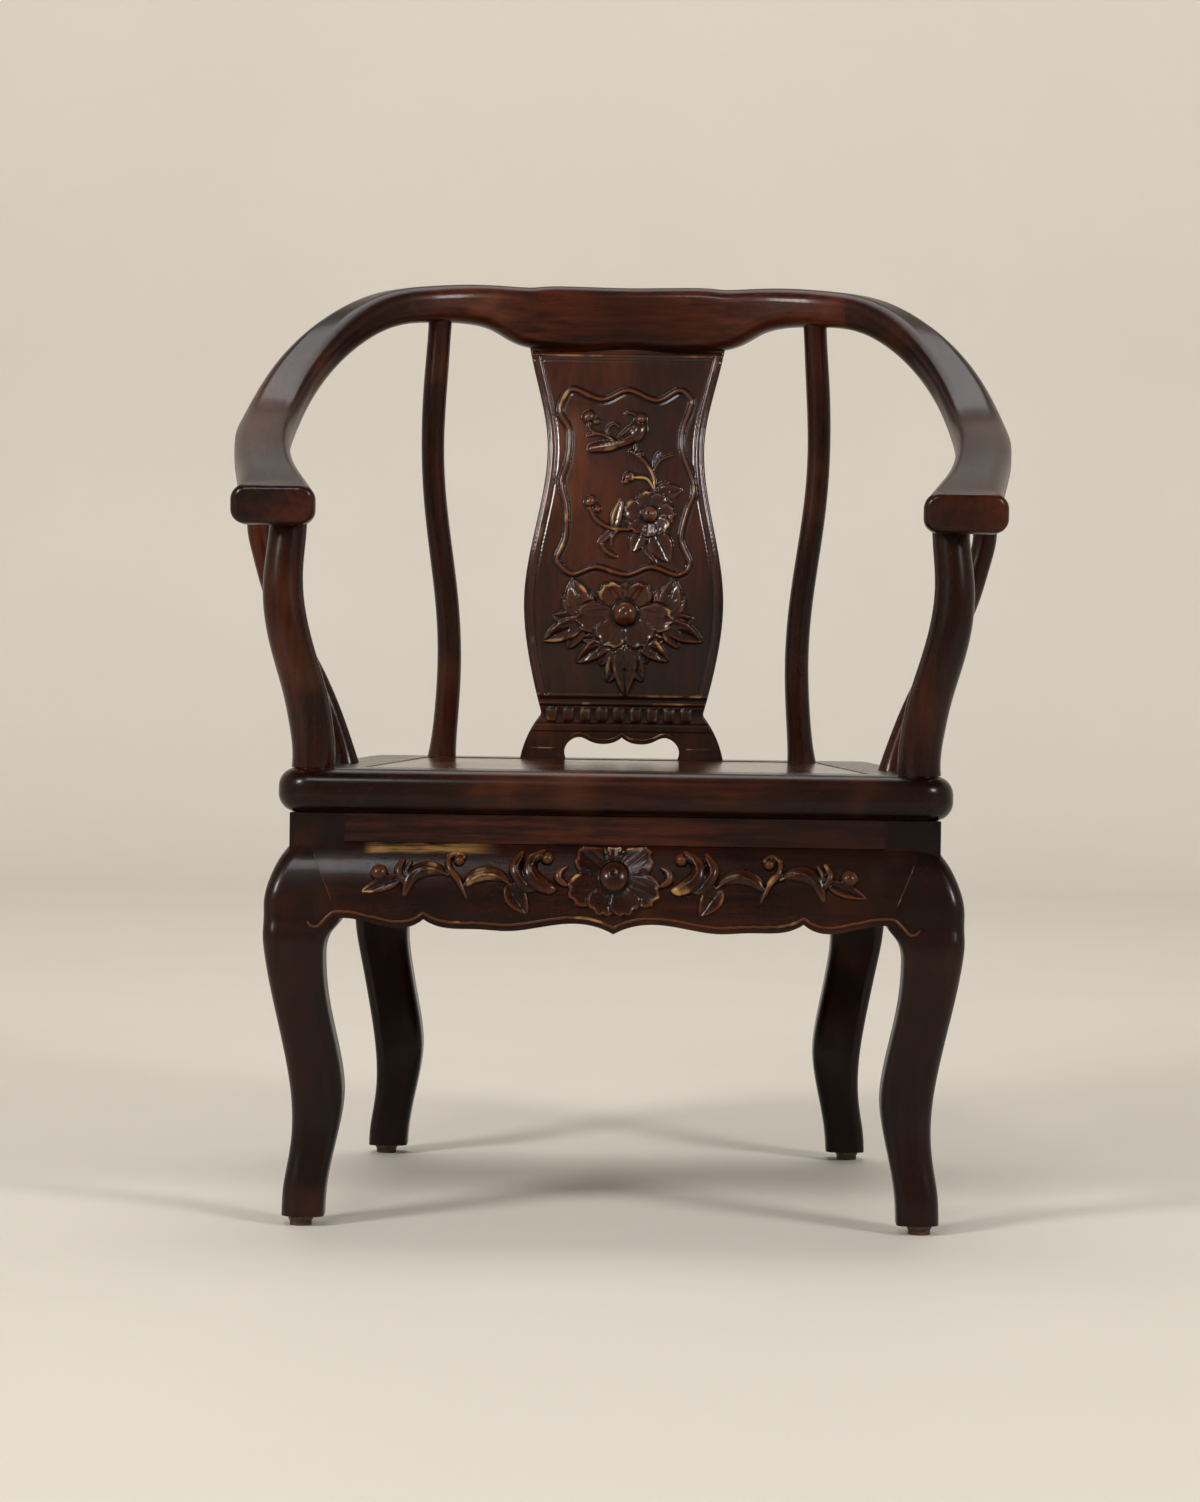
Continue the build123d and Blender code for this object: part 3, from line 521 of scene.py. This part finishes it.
def large_flower(board):
    """The large flower under the cartouche and its seven lobed leaves."""
    board.lobed_leaf((-37, 484), (-45, 515), 33, 6.4)
    board.lobed_leaf((38, 484), (44.5, 517), 31, 6.4)
    board.lobed_leaf((-33, 479), (-71, 460.5), 28, 6.0)
    board.lobed_leaf((35, 478), (70, 461.5), 28, 6.0)
    board.lobed_leaf((-10, 464), (-41, 441.5), 26, 6.0)
    board.lobed_leaf((12, 464), (40.5, 443.5), 26, 6.0)
    board.lobed_leaf((1, 460), (2.5, 412.5), 32, 7.0, spread=27, side=0.72)
    board.blossom((1.5, 485.5), 11.4, 8.0,
                  ((90, 27, 19), (128, 31, 23), (52, 31, 23), (188, 43, 29), (352, 42, 27),
                   (235, 33, 30), (305, 33, 29)))


CUSHIONS = 9                 # the row of small square cushions under the flower
CUSHION_PITCH = 14.9
CUSHION_FIRST = -62.7
CUSHION_LEVEL = 395.1
LINE_END = 92                # mouldings run past the board's edge


def mouldings(board):
    """Cut lines and beads above and below the carving, and the row of cushions."""
    for height, width, depth in ((718.5, 2.4, -0.5), (710.4, 2.4, -0.5), (408.6, 4.0, -0.5),
                                 (402.8, 2.0, -0.45), (387.0, 2.0, -0.5)):
        board.ridge([(-LINE_END, height, width, depth), (LINE_END, height, width, depth)])
    for height in (714.5, 412.4, 405.4):
        board.ridge([(-LINE_END, height, 3.2, 0.9), (LINE_END, height, 3.2, 0.9)])
    board.ridge([(-67, CUSHION_LEVEL, 13.0, -0.5), (67, CUSHION_LEVEL, 13.0, -0.5)])
    for number in range(CUSHIONS):
        middle = CUSHION_FIRST + number * CUSHION_PITCH
        across, up, here = board.window((middle - 5.3, 389.0), (middle + 5.2, 401.3))
        beside = np.abs(across - middle) / 5.2
        rise = np.abs(up - CUSHION_LEVEL) / 6.1
        here[:] = np.maximum(here, 2.2 * np.clip(1 - beside ** 4 - rise ** 4, 0, 1) ** 0.5 - 0.5)


CARTOUCHE = [(-47.8, 684.1), (-21.8, 675.5), (1.1, 683.8), (26.6, 675.2), (46.5, 684.4), (57.2, 676.5),
             (56.0, 666.7), (50.5, 650.6), (49.9, 631.0), (60.9, 597.3), (55.0, 576.9), (50.1, 551.6),
             (57.9, 530.1), (47.0, 520.2), (23.9, 526.9), (1.9, 520.0), (-24.8, 526.3), (-45.1, 519.8),
             (-56.7, 527.6), (-59.5, 534.7), (-52.6, 552.5), (-52.1, 578.1), (-56.9, 601.1),
             (-51.6, 621.6), (-50.7, 647.5), (-58.9, 662.5), (-57.0, 674.0)]

splat = Relief(-95, 95, SPLAT_LOW, SPLAT_HIGH, CARVED_STEP)
splat.ridge([(across, up, 9.5, -0.6) for across, up in CARTOUCHE], closed=True)
splat.ridge([(across, up, 4.6, 2.7) for across, up in CARTOUCHE], closed=True)
bird_on_branch(splat)
small_blossom(splat)
large_flower(splat)
mouldings(splat)

RAY_COLUMNS = (0.0013, 0.0307)   # off the middle, where the board's faces meet in a seam
BEHIND_FACE = 0.003          # a ray from the side meets the board's edge this far back
EVENED_ROWS = 9              # the outline is evened out over so many rows


def board_rows(tree, rows):
    """At each height, where the front of the splat lies, in metres, and its half width in millimetres."""
    front_line, half_width = [], []
    for height in rows:
        hits = [tree.ray_cast(Vector((across, -1, height)), Vector((0, 1, 0)))[0] for across in RAY_COLUMNS]
        front = next(hit.y for hit in hits if hit is not None)
        edge = tree.ray_cast(Vector((-1, front + BEHIND_FACE, height)), Vector((1, 0, 0)))[0]
        front_line.append(front)
        half_width.append(-edge.x)
    padded = np.pad(half_width, EVENED_ROWS // 2, "edge")
    even = np.convolve(padded, np.ones(EVENED_ROWS) / EVENED_ROWS, "valid")
    return np.array(front_line), even * MILLIMETRES


splat_tree = search_tree(["back_splat"])
splat_rows = splat.up / MILLIMETRES
front_line, half_width = board_rows(splat_tree, splat_rows)

# a flat border with a bead inside it, all the way up the sides
SPLAT_MARGIN = 7.0
BORDER_ROWS = range(45, 448, 4)
for hand in (-1, 1):
    for inset, width, height in ((1.8, 2.6, -0.6), (-1.6, 5.0, 1.0)):
        splat.ridge([(hand * (half_width[i] - SPLAT_MARGIN - inset), splat.up[i], width, height)
                     for i in BORDER_ROWS])


GOUGE_LENGTH = 22            # one cut, in steps of the grid
GOUGE_WIDTH = 14
GOUGE_DEPTH = 0.12


def gouge_marks(board):
    """The long shallow hollows that a gouge leaves, for GOUGE_DEPTH to scale."""
    cuts = (len(board.up) // GOUGE_LENGTH + 2, len(board.across) // GOUGE_WIDTH + 2)
    marks = np.random.default_rng(7).normal(size=cuts)
    rows = np.linspace(0, marks.shape[0] - 1, len(board.up))
    columns = np.linspace(0, marks.shape[1] - 1, len(board.across))
    wide = np.array([np.interp(columns, range(marks.shape[1]), row) for row in marks])
    full = np.array([np.interp(rows, range(marks.shape[0]), column) for column in wide.T]).T
    return blurred(full, 30)


SHEET_PROUD = 1.0            # the carved face stands this far in front of the board
SHEET_TUCK = 0.35            # and its edges are turned this far into it
SHEET_INSET = 0.2
EDGE_ROUND = 1.2
FOOT_TUCK = 0.0004           # its lowest row lies this far inside the board, in metres


def lay_on_splat():
    """Bends the carved face onto the front of the splat, as wide as the board at each height."""
    surface = np.maximum(splat.height, DEEPEST_CUT) + GOUGE_DEPTH * gouge_marks(splat)
    crests = splat.crests()
    share = np.linspace(-1, 1, len(splat.across))
    places = np.zeros(splat.height.shape + (3,))
    rubbed = np.zeros(splat.height.shape)
    for i, half in enumerate(half_width):
        across = share * (half - SHEET_INSET)
        edge = np.clip((half - np.abs(across)) / EDGE_ROUND, 0, 1)
        height = (np.interp(across, splat.across, surface[i]) + SHEET_PROUD) * edge - SHEET_TUCK * (1 - edge)
        places[i, :, 0] = across / MILLIMETRES
        places[i, :, 1] = front_line[i] - height / MILLIMETRES
        places[i, :, 2] = splat_rows[i]
        # the crest heights ride along as rubbed: worn crests above zero, painted shade in the hollows below
        # zero
        rubbed[i] = np.interp(across, splat.across, crests[i])
    places[0, :, 1] = front_line[0] + FOOT_TUCK
    carved_sheet("splat_carving", places, np.ones(rubbed.shape, bool), rubbed, splat_wood)


BEAD_STEP = 1.5
ARCH_HALF_WIDTH = 46.0       # the arch bead runs this far to each side
ARCH_FOOT = 0.362
ARCH_CROWN = 0.384
ARCH_BEAD_ABOVE = 0.0035
FOOT_BEAD_HEIGHT = 0.3655
FOOT_BEAD_IN, FOOT_BEAD_OUT = 57.0, 82.0


def arch_line(tree):
    """Ray starts a little above the arch of the foot, from side to side."""
    line = []
    for across in np.arange(-ARCH_HALF_WIDTH, ARCH_HALF_WIDTH + 0.1, BEAD_STEP):
        for height in np.arange(ARCH_FOOT, ARCH_CROWN, 0.0005):
            start = Vector((across / MILLIMETRES, -1, height))
            if tree.ray_cast(start, Vector((0, 1, 0)))[0] is not None:
                line.append((across / MILLIMETRES, -1, height + ARCH_BEAD_ABOVE))
                break
    return line


splat_wood = rosewood("splat rosewood", grain=2, red=0.66, gloss=0.24, worn=0.45, coat=0.6, carved=True)
finish(["back_splat"], splat_wood)
lay_on_splat()
ridge_on("splat_arch_bead", splat_tree, arch_line(splat_tree), (0, 1, 0), 0.0009, splat_wood)
for hand, side in (("left", -1), ("right", 1)):
    foot = [(side * across / MILLIMETRES, -1, FOOT_BEAD_HEIGHT)
            for across in np.arange(FOOT_BEAD_IN, FOOT_BEAD_OUT + 0.1, BEAD_STEP)]
    ridge_on(f"splat_{hand}_foot_bead", splat_tree, foot, (0, 1, 0), 0.0007, splat_wood)

# ---- Aprons ----------------------------------------------------------------
# Bulged rosewood boards mitred to the legs, with a scalloped lower edge. The
# front and sides are carved with a flower and scrolling leaves, and a bead
# follows the scallops of all four and curls up on each leg.

APRON_LOW = 252.0
APRON_HIGH = 303.0
APRON_REACH = 202
APRON_GROUND = -0.4          # under every carved height, so that bare places are left out
SIDE_SHARE = 0.84            # the side pattern is this much shorter than the front one
INWARD = {"front": Vector((0, 1, 0)), "back": Vector((0, -1, 0)),
          "left": Vector((1, 0, 0)), "right": Vector((-1, 0, 0))}

# strokes of (across, up, width, height) points on one half of the pattern
SCROLL_STROKES = (
    ((167, 292, 5, 2.6), (170, 284, 8, 4.1), (166, 276, 5, 3.1)),
    ((161, 291, 4, 2.4), (164, 284, 5, 3.6), (161, 277, 4, 2.6)),
    ((131, 282, 2, 1.9), (139, 285.5, 9, 3.6), (150, 285.5, 12.5, 4.6), (160, 280, 11.5, 4.1),
     (165, 267, 5, 1.9)),
    ((131, 281, 1.6, 3.8), (141, 284.5, 1.6, 4.7), (151, 284, 1.6, 5.2), (159, 278, 1.6, 4.7)),
    ((131, 295, 5, 3.4), (130, 286, 6.5, 4.1), (123, 278, 6, 3.8), (116, 264, 1.8, 1.9)),
    ((131, 294, 5, 3.4), (125, 298, 5, 3.4), (119, 295, 5, 3.4)),
    ((81, 275, 2, 1.9), (90, 281.5, 9, 3.6), (101, 283, 12.5, 4.6), (111, 280, 10.5, 3.8),
     (117, 274, 4, 2.2)),
    ((81, 274, 1.6, 3.8), (91, 280, 1.6, 4.7), (102, 281.5, 1.6, 5.2), (112, 278, 1.6, 4.3)),
    ((73, 299, 4, 3.1), (78, 287, 11, 5), (71, 274, 9, 3.8), (62, 271, 2, 1.9)),
    ((56, 299, 6.5, 4.1), (66, 292, 10.5, 5.5), (65, 281, 14.5, 6), (53, 273, 10.5, 4.3),
     (46, 272, 2, 1.9)),
    ((72, 296, 1.4, 5.3), (76.5, 286, 1.4, 6.2), (70, 275, 1.4, 5)),
    ((61, 296, 1.4, 6.2), (65.5, 286, 1.4, 7.4), (60, 277, 1.4, 6.2)),
    ((37, 289, 2, 2.4), (43, 285, 7, 4.1), (43, 279, 7, 4.1), (35, 274, 2, 2.4)),
)


def apron_pattern():
    """The relief of one apron: a flower with scrolling leaves to both sides."""
    apron = Relief(-APRON_REACH, APRON_REACH, APRON_LOW, APRON_HIGH, CARVED_STEP)
    apron.height[:] = APRON_GROUND
    for hand in (-1, 1):
        for stroke in SCROLL_STROKES:
            apron.ridge([(hand * across, up, width, height) for across, up, width, height in stroke])
        apron.leaf((hand * 168, 279), (hand * 199, 268), 12, 3.4, veins=3)
        apron.leaf((hand * 84, 275), (hand * 68, 252.5), 18, 3.2, veins=3)
        apron.mound((hand * 185.5, 282.5), 6.8, 6.4, 6.0)
        apron.mound((hand * 122.5, 292.5), 4.6, 4.2, 4.8)
        apron.mound((hand * 53, 295), 5.2, 4.8, 5.6)
    apron.blossom((0, 281.5), 12.0, 5.6,
                  ((90, 24, 24), (145, 34, 27), (35, 34, 27), (203, 38, 27), (337, 38, 27),
                   (246, 31, 25), (294, 31, 25)))
    return apron


def outside(side, along, height):
    """A place well outside one side of the chair, for a ray to start at."""
    inward = INWARD[side]
    level_way = Vector((abs(inward.y), abs(inward.x), 0))
    return level_way * along - inward + Vector((0, 0, height))


def carve_apron(side, pattern, share, wood):
    """Lays the pattern on one apron; share is how long it is made there."""
    tree, inward = search_tree([f"{side}_apron"]), INWARD[side]
    kept = pattern.height > 0
    near = kept.copy()
    for axis in (0, 1):
        near |= np.roll(near, 1, axis) | np.roll(near, -1, axis)
    places = np.full(kept.shape + (3,), np.nan)
    for i, j in zip(*np.nonzero(near)):
        start = outside(side, pattern.across[j] * share / MILLIMETRES, pattern.up[i] / MILLIMETRES)
        place, normal, _, _ = tree.ray_cast(start, inward)
        if place is not None:
            normal = normal if normal.dot(inward) < 0 else -normal
            places[i, j] = place + normal * (pattern.height[i, j] / MILLIMETRES)
    # the pattern's crest heights ride along as rubbed: worn crests above zero, painted shade in the hollows
    # below zero
    carved_sheet(f"{side}_apron_carving", places, kept, pattern.crests(), wood, flipped=side == "left")


BEAD_ABOVE_EDGE = 0.0055
BEAD_RADIUS = 0.0014
UNDER_APRON = 0.225          # heights between which the lower edge is looked for
OVER_APRON = 0.290
SCROLL_REACH = 0.018         # the bead leaves the scallops this far from each end
SCROLL = ((0.0135, 0.2440), (0.0105, 0.2405), (0.0055, 0.2400), (0.0015, 0.2440),
          (-0.0030, 0.2485), (-0.0080, 0.2520))


def edge_bead(side, legs, wood):
    """The bead over an apron's scallops; it leaves each end in a small scroll on the leg."""
    tree, inward = search_tree([f"{side}_apron"] + legs), INWARD[side]

    def lowest(along):
        for height in np.arange(UNDER_APRON, OVER_APRON, 0.0005):
            if tree.ray_cast(outside(side, along, height), inward)[0] is not None:
                return height
        return OVER_APRON

    ends = []
    for hand in (-1, 1):
        along = 0.0
        while abs(along) < 0.3 and lowest(along) > UNDER_APRON + 0.0005:
            along += hand * 0.001
        ends.append(along)
    line = [(ends[0] - out, height) for out, height in SCROLL]
    line += [(along, lowest(along) + BEAD_ABOVE_EDGE)
             for along in np.arange(ends[0] + SCROLL_REACH, ends[1] - SCROLL_REACH, 0.002)]
    line += [(ends[1] + out, height) for out, height in reversed(SCROLL)]
    line = smooth_line([(along * MILLIMETRES, height * MILLIMETRES, 0) for along, height in line],
                       spacing=1.5)
    starts = [outside(side, along, height) for along, height, _ in line / MILLIMETRES]
    ridge_on(f"{side}_apron_bead", tree, starts, inward, BEAD_RADIUS, wood)


MITRE_LOW = 0.262            # heights between which the mitre shows
MITRE_HIGH = 0.297
MITRE_OUT = 0.252            # and the span along the side where it is looked for
MITRE_IN = 0.150
MITRE_RADIUS = 0.00032


def mitre_line(side, hand, leg, wood):
    """The hairline where the mitred end of an apron meets the leg."""
    apron_tree, leg_tree, inward = search_tree([f"{side}_apron"]), search_tree([leg]), INWARD[side]
    seam = []
    for height in np.arange(MITRE_LOW, MITRE_HIGH, 0.002):
        for along in np.arange(MITRE_OUT, MITRE_IN, -0.0005):
            start = outside(side, hand * along, height)
            apron_hit = apron_tree.ray_cast(start, inward)
            leg_hit = leg_tree.ray_cast(start, inward)
            if apron_hit[0] is not None and (leg_hit[0] is None or apron_hit[3] < leg_hit[3]):
                seam.append(start)
                break
    both = search_tree([f"{side}_apron", leg])
    ridge_on(f"{side}_{leg}_mitre", both, seam, inward, MITRE_RADIUS, wood)


across_wood = rosewood("apron rosewood across", grain=0, red=0.35, gloss=0.2, worn=0.25, carved=True,
                       edge=0.2985)
along_wood = rosewood("apron rosewood along", grain=1, red=0.35, gloss=0.2, worn=0.25, carved=True)
finish(["front_apron", "back_apron"], across_wood)
finish(["left_apron", "right_apron"], along_wood)

pattern = apron_pattern()
carve_apron("front", pattern, 1.0, across_wood)
carve_apron("left", pattern, SIDE_SHARE, along_wood)
carve_apron("right", pattern, SIDE_SHARE, along_wood)

for side, hand in (("left", -1), ("right", 1)):
    mitre_line("front", hand, f"front_{side}_leg", along_wood)
for place, hand in (("front", -1), ("back", 1)):
    for side in ("left", "right"):
        mitre_line(side, hand, f"{place}_{side}_leg", along_wood)

edge_bead("front", ["front_left_leg", "front_right_leg"], across_wood)
edge_bead("back", ["back_left_leg", "back_right_leg"], across_wood)
edge_bead("left", ["front_left_leg", "back_left_leg"], along_wood)
edge_bead("right", ["front_right_leg", "back_right_leg"], along_wood)

# ---- Room ------------------------------------------------------------------
# A round pale floor that runs up into a pale wall all the way round, four
# soft lamps, three of them in front and one above, and a camera at sitting
# height.

ROOM_RADIUS = 4.4
WALL_HEIGHT = 4.2
COVE = 0.9                   # radius of the turn from floor to wall
COVE_STEPS = 14
ROOM_SIDES = 72
FLOOR_COLOUR = srgb(206, 199, 188)


def round_room():
    """The floor and wall in one sheet, spun about the chair."""
    flat = ROOM_RADIUS - COVE
    profile = [(0.02, 0.0), (1.5, 0.0), (flat, 0.0)]
    profile += [(flat + COVE * math.sin(turn), COVE - COVE * math.cos(turn))
                for turn in np.linspace(0.1, math.pi / 2, COVE_STEPS)]
    profile.append((ROOM_RADIUS, WALL_HEIGHT))
    around = np.linspace(0, 2 * math.pi, ROOM_SIDES + 1)[:-1]
    points = [(reach * math.cos(turn), reach * math.sin(turn), height)
              for reach, height in profile for turn in around]
    faces = []
    for ring in range(len(profile) - 1):
        low, high = ring * ROOM_SIDES, (ring + 1) * ROOM_SIDES
        for place in range(ROOM_SIDES):
            after = (place + 1) % ROOM_SIDES
            faces.append((low + place, low + after, high + after, high + place))
    faces.append(tuple(range(ROOM_SIDES))[::-1])
    mesh = bpy.data.meshes.new("room")
    mesh.from_pydata(points, [], faces)
    mesh.shade_smooth()
    sheet = bpy.data.objects.new("room", mesh)
    bpy.context.scene.collection.objects.link(sheet)
    mesh.materials.append(plain_finish("room paper", FLOOR_COLOUR, 0.6, mottle=3.0, shift=0.985))


def soft_lamp(name, place, target, size, power):
    """A square area lamp that faces its target."""
    lamp = bpy.data.lights.new(name, "AREA")
    lamp.shape = "SQUARE"
    lamp.size = size
    lamp.energy = power
    holder = bpy.data.objects.new(name, lamp)
    holder.location = place
    holder.rotation_euler = (Vector(target) - Vector(place)).to_track_quat("-Z", "Y").to_euler()
    bpy.context.scene.collection.objects.link(holder)


round_room()
soft_lamp("left lamp", (-2.7, -2.7, 2.4), (0, 0.8, 0.7), size=0.9, power=110)
soft_lamp("right lamp", (2.8, -2.5, 2.4), (0, 0.8, 0.7), size=0.9, power=84)
soft_lamp("window lamp", (-0.8, -2.7, 3.1), (0, 0.4, 0.6), size=0.8, power=26)
soft_lamp("top lamp", (0, 1.6, 3.8), (0, 2.8, 0.6), size=2.6, power=80)

world = bpy.data.worlds.new("room")
bpy.context.scene.world = world
world.use_nodes = True
sky = world.node_tree.nodes["Background"]
sky.inputs["Color"].default_value = (1.0, 0.98, 0.95, 1.0)
sky.inputs["Strength"].default_value = 0.08

CAMERA_PLACE = (0.0404, -3.6283, 0.5254)
CAMERA_YAW = math.radians(-0.893)
CAMERA_PITCH = math.radians(2.432)
CAMERA_ROLL = math.radians(0.777)
CAMERA_SENSOR = 36.0         # millimetres, as the lens is
CAMERA_LENS = 103.23

camera = bpy.data.cameras.new("camera")
camera.sensor_width = CAMERA_SENSOR
camera.lens = CAMERA_LENS
viewer = bpy.data.objects.new("camera", camera)
ahead = Vector((math.sin(CAMERA_YAW) * math.cos(CAMERA_PITCH),
                math.cos(CAMERA_YAW) * math.cos(CAMERA_PITCH),
                -math.sin(CAMERA_PITCH)))
viewer.location = CAMERA_PLACE
viewer.rotation_mode = "QUATERNION"
viewer.rotation_quaternion = Quaternion(ahead, -CAMERA_ROLL) @ ahead.to_track_quat("-Z", "Y")
bpy.context.scene.collection.objects.link(viewer)
bpy.context.scene.camera = viewer

bpy.context.scene.view_settings.view_transform = "Standard"
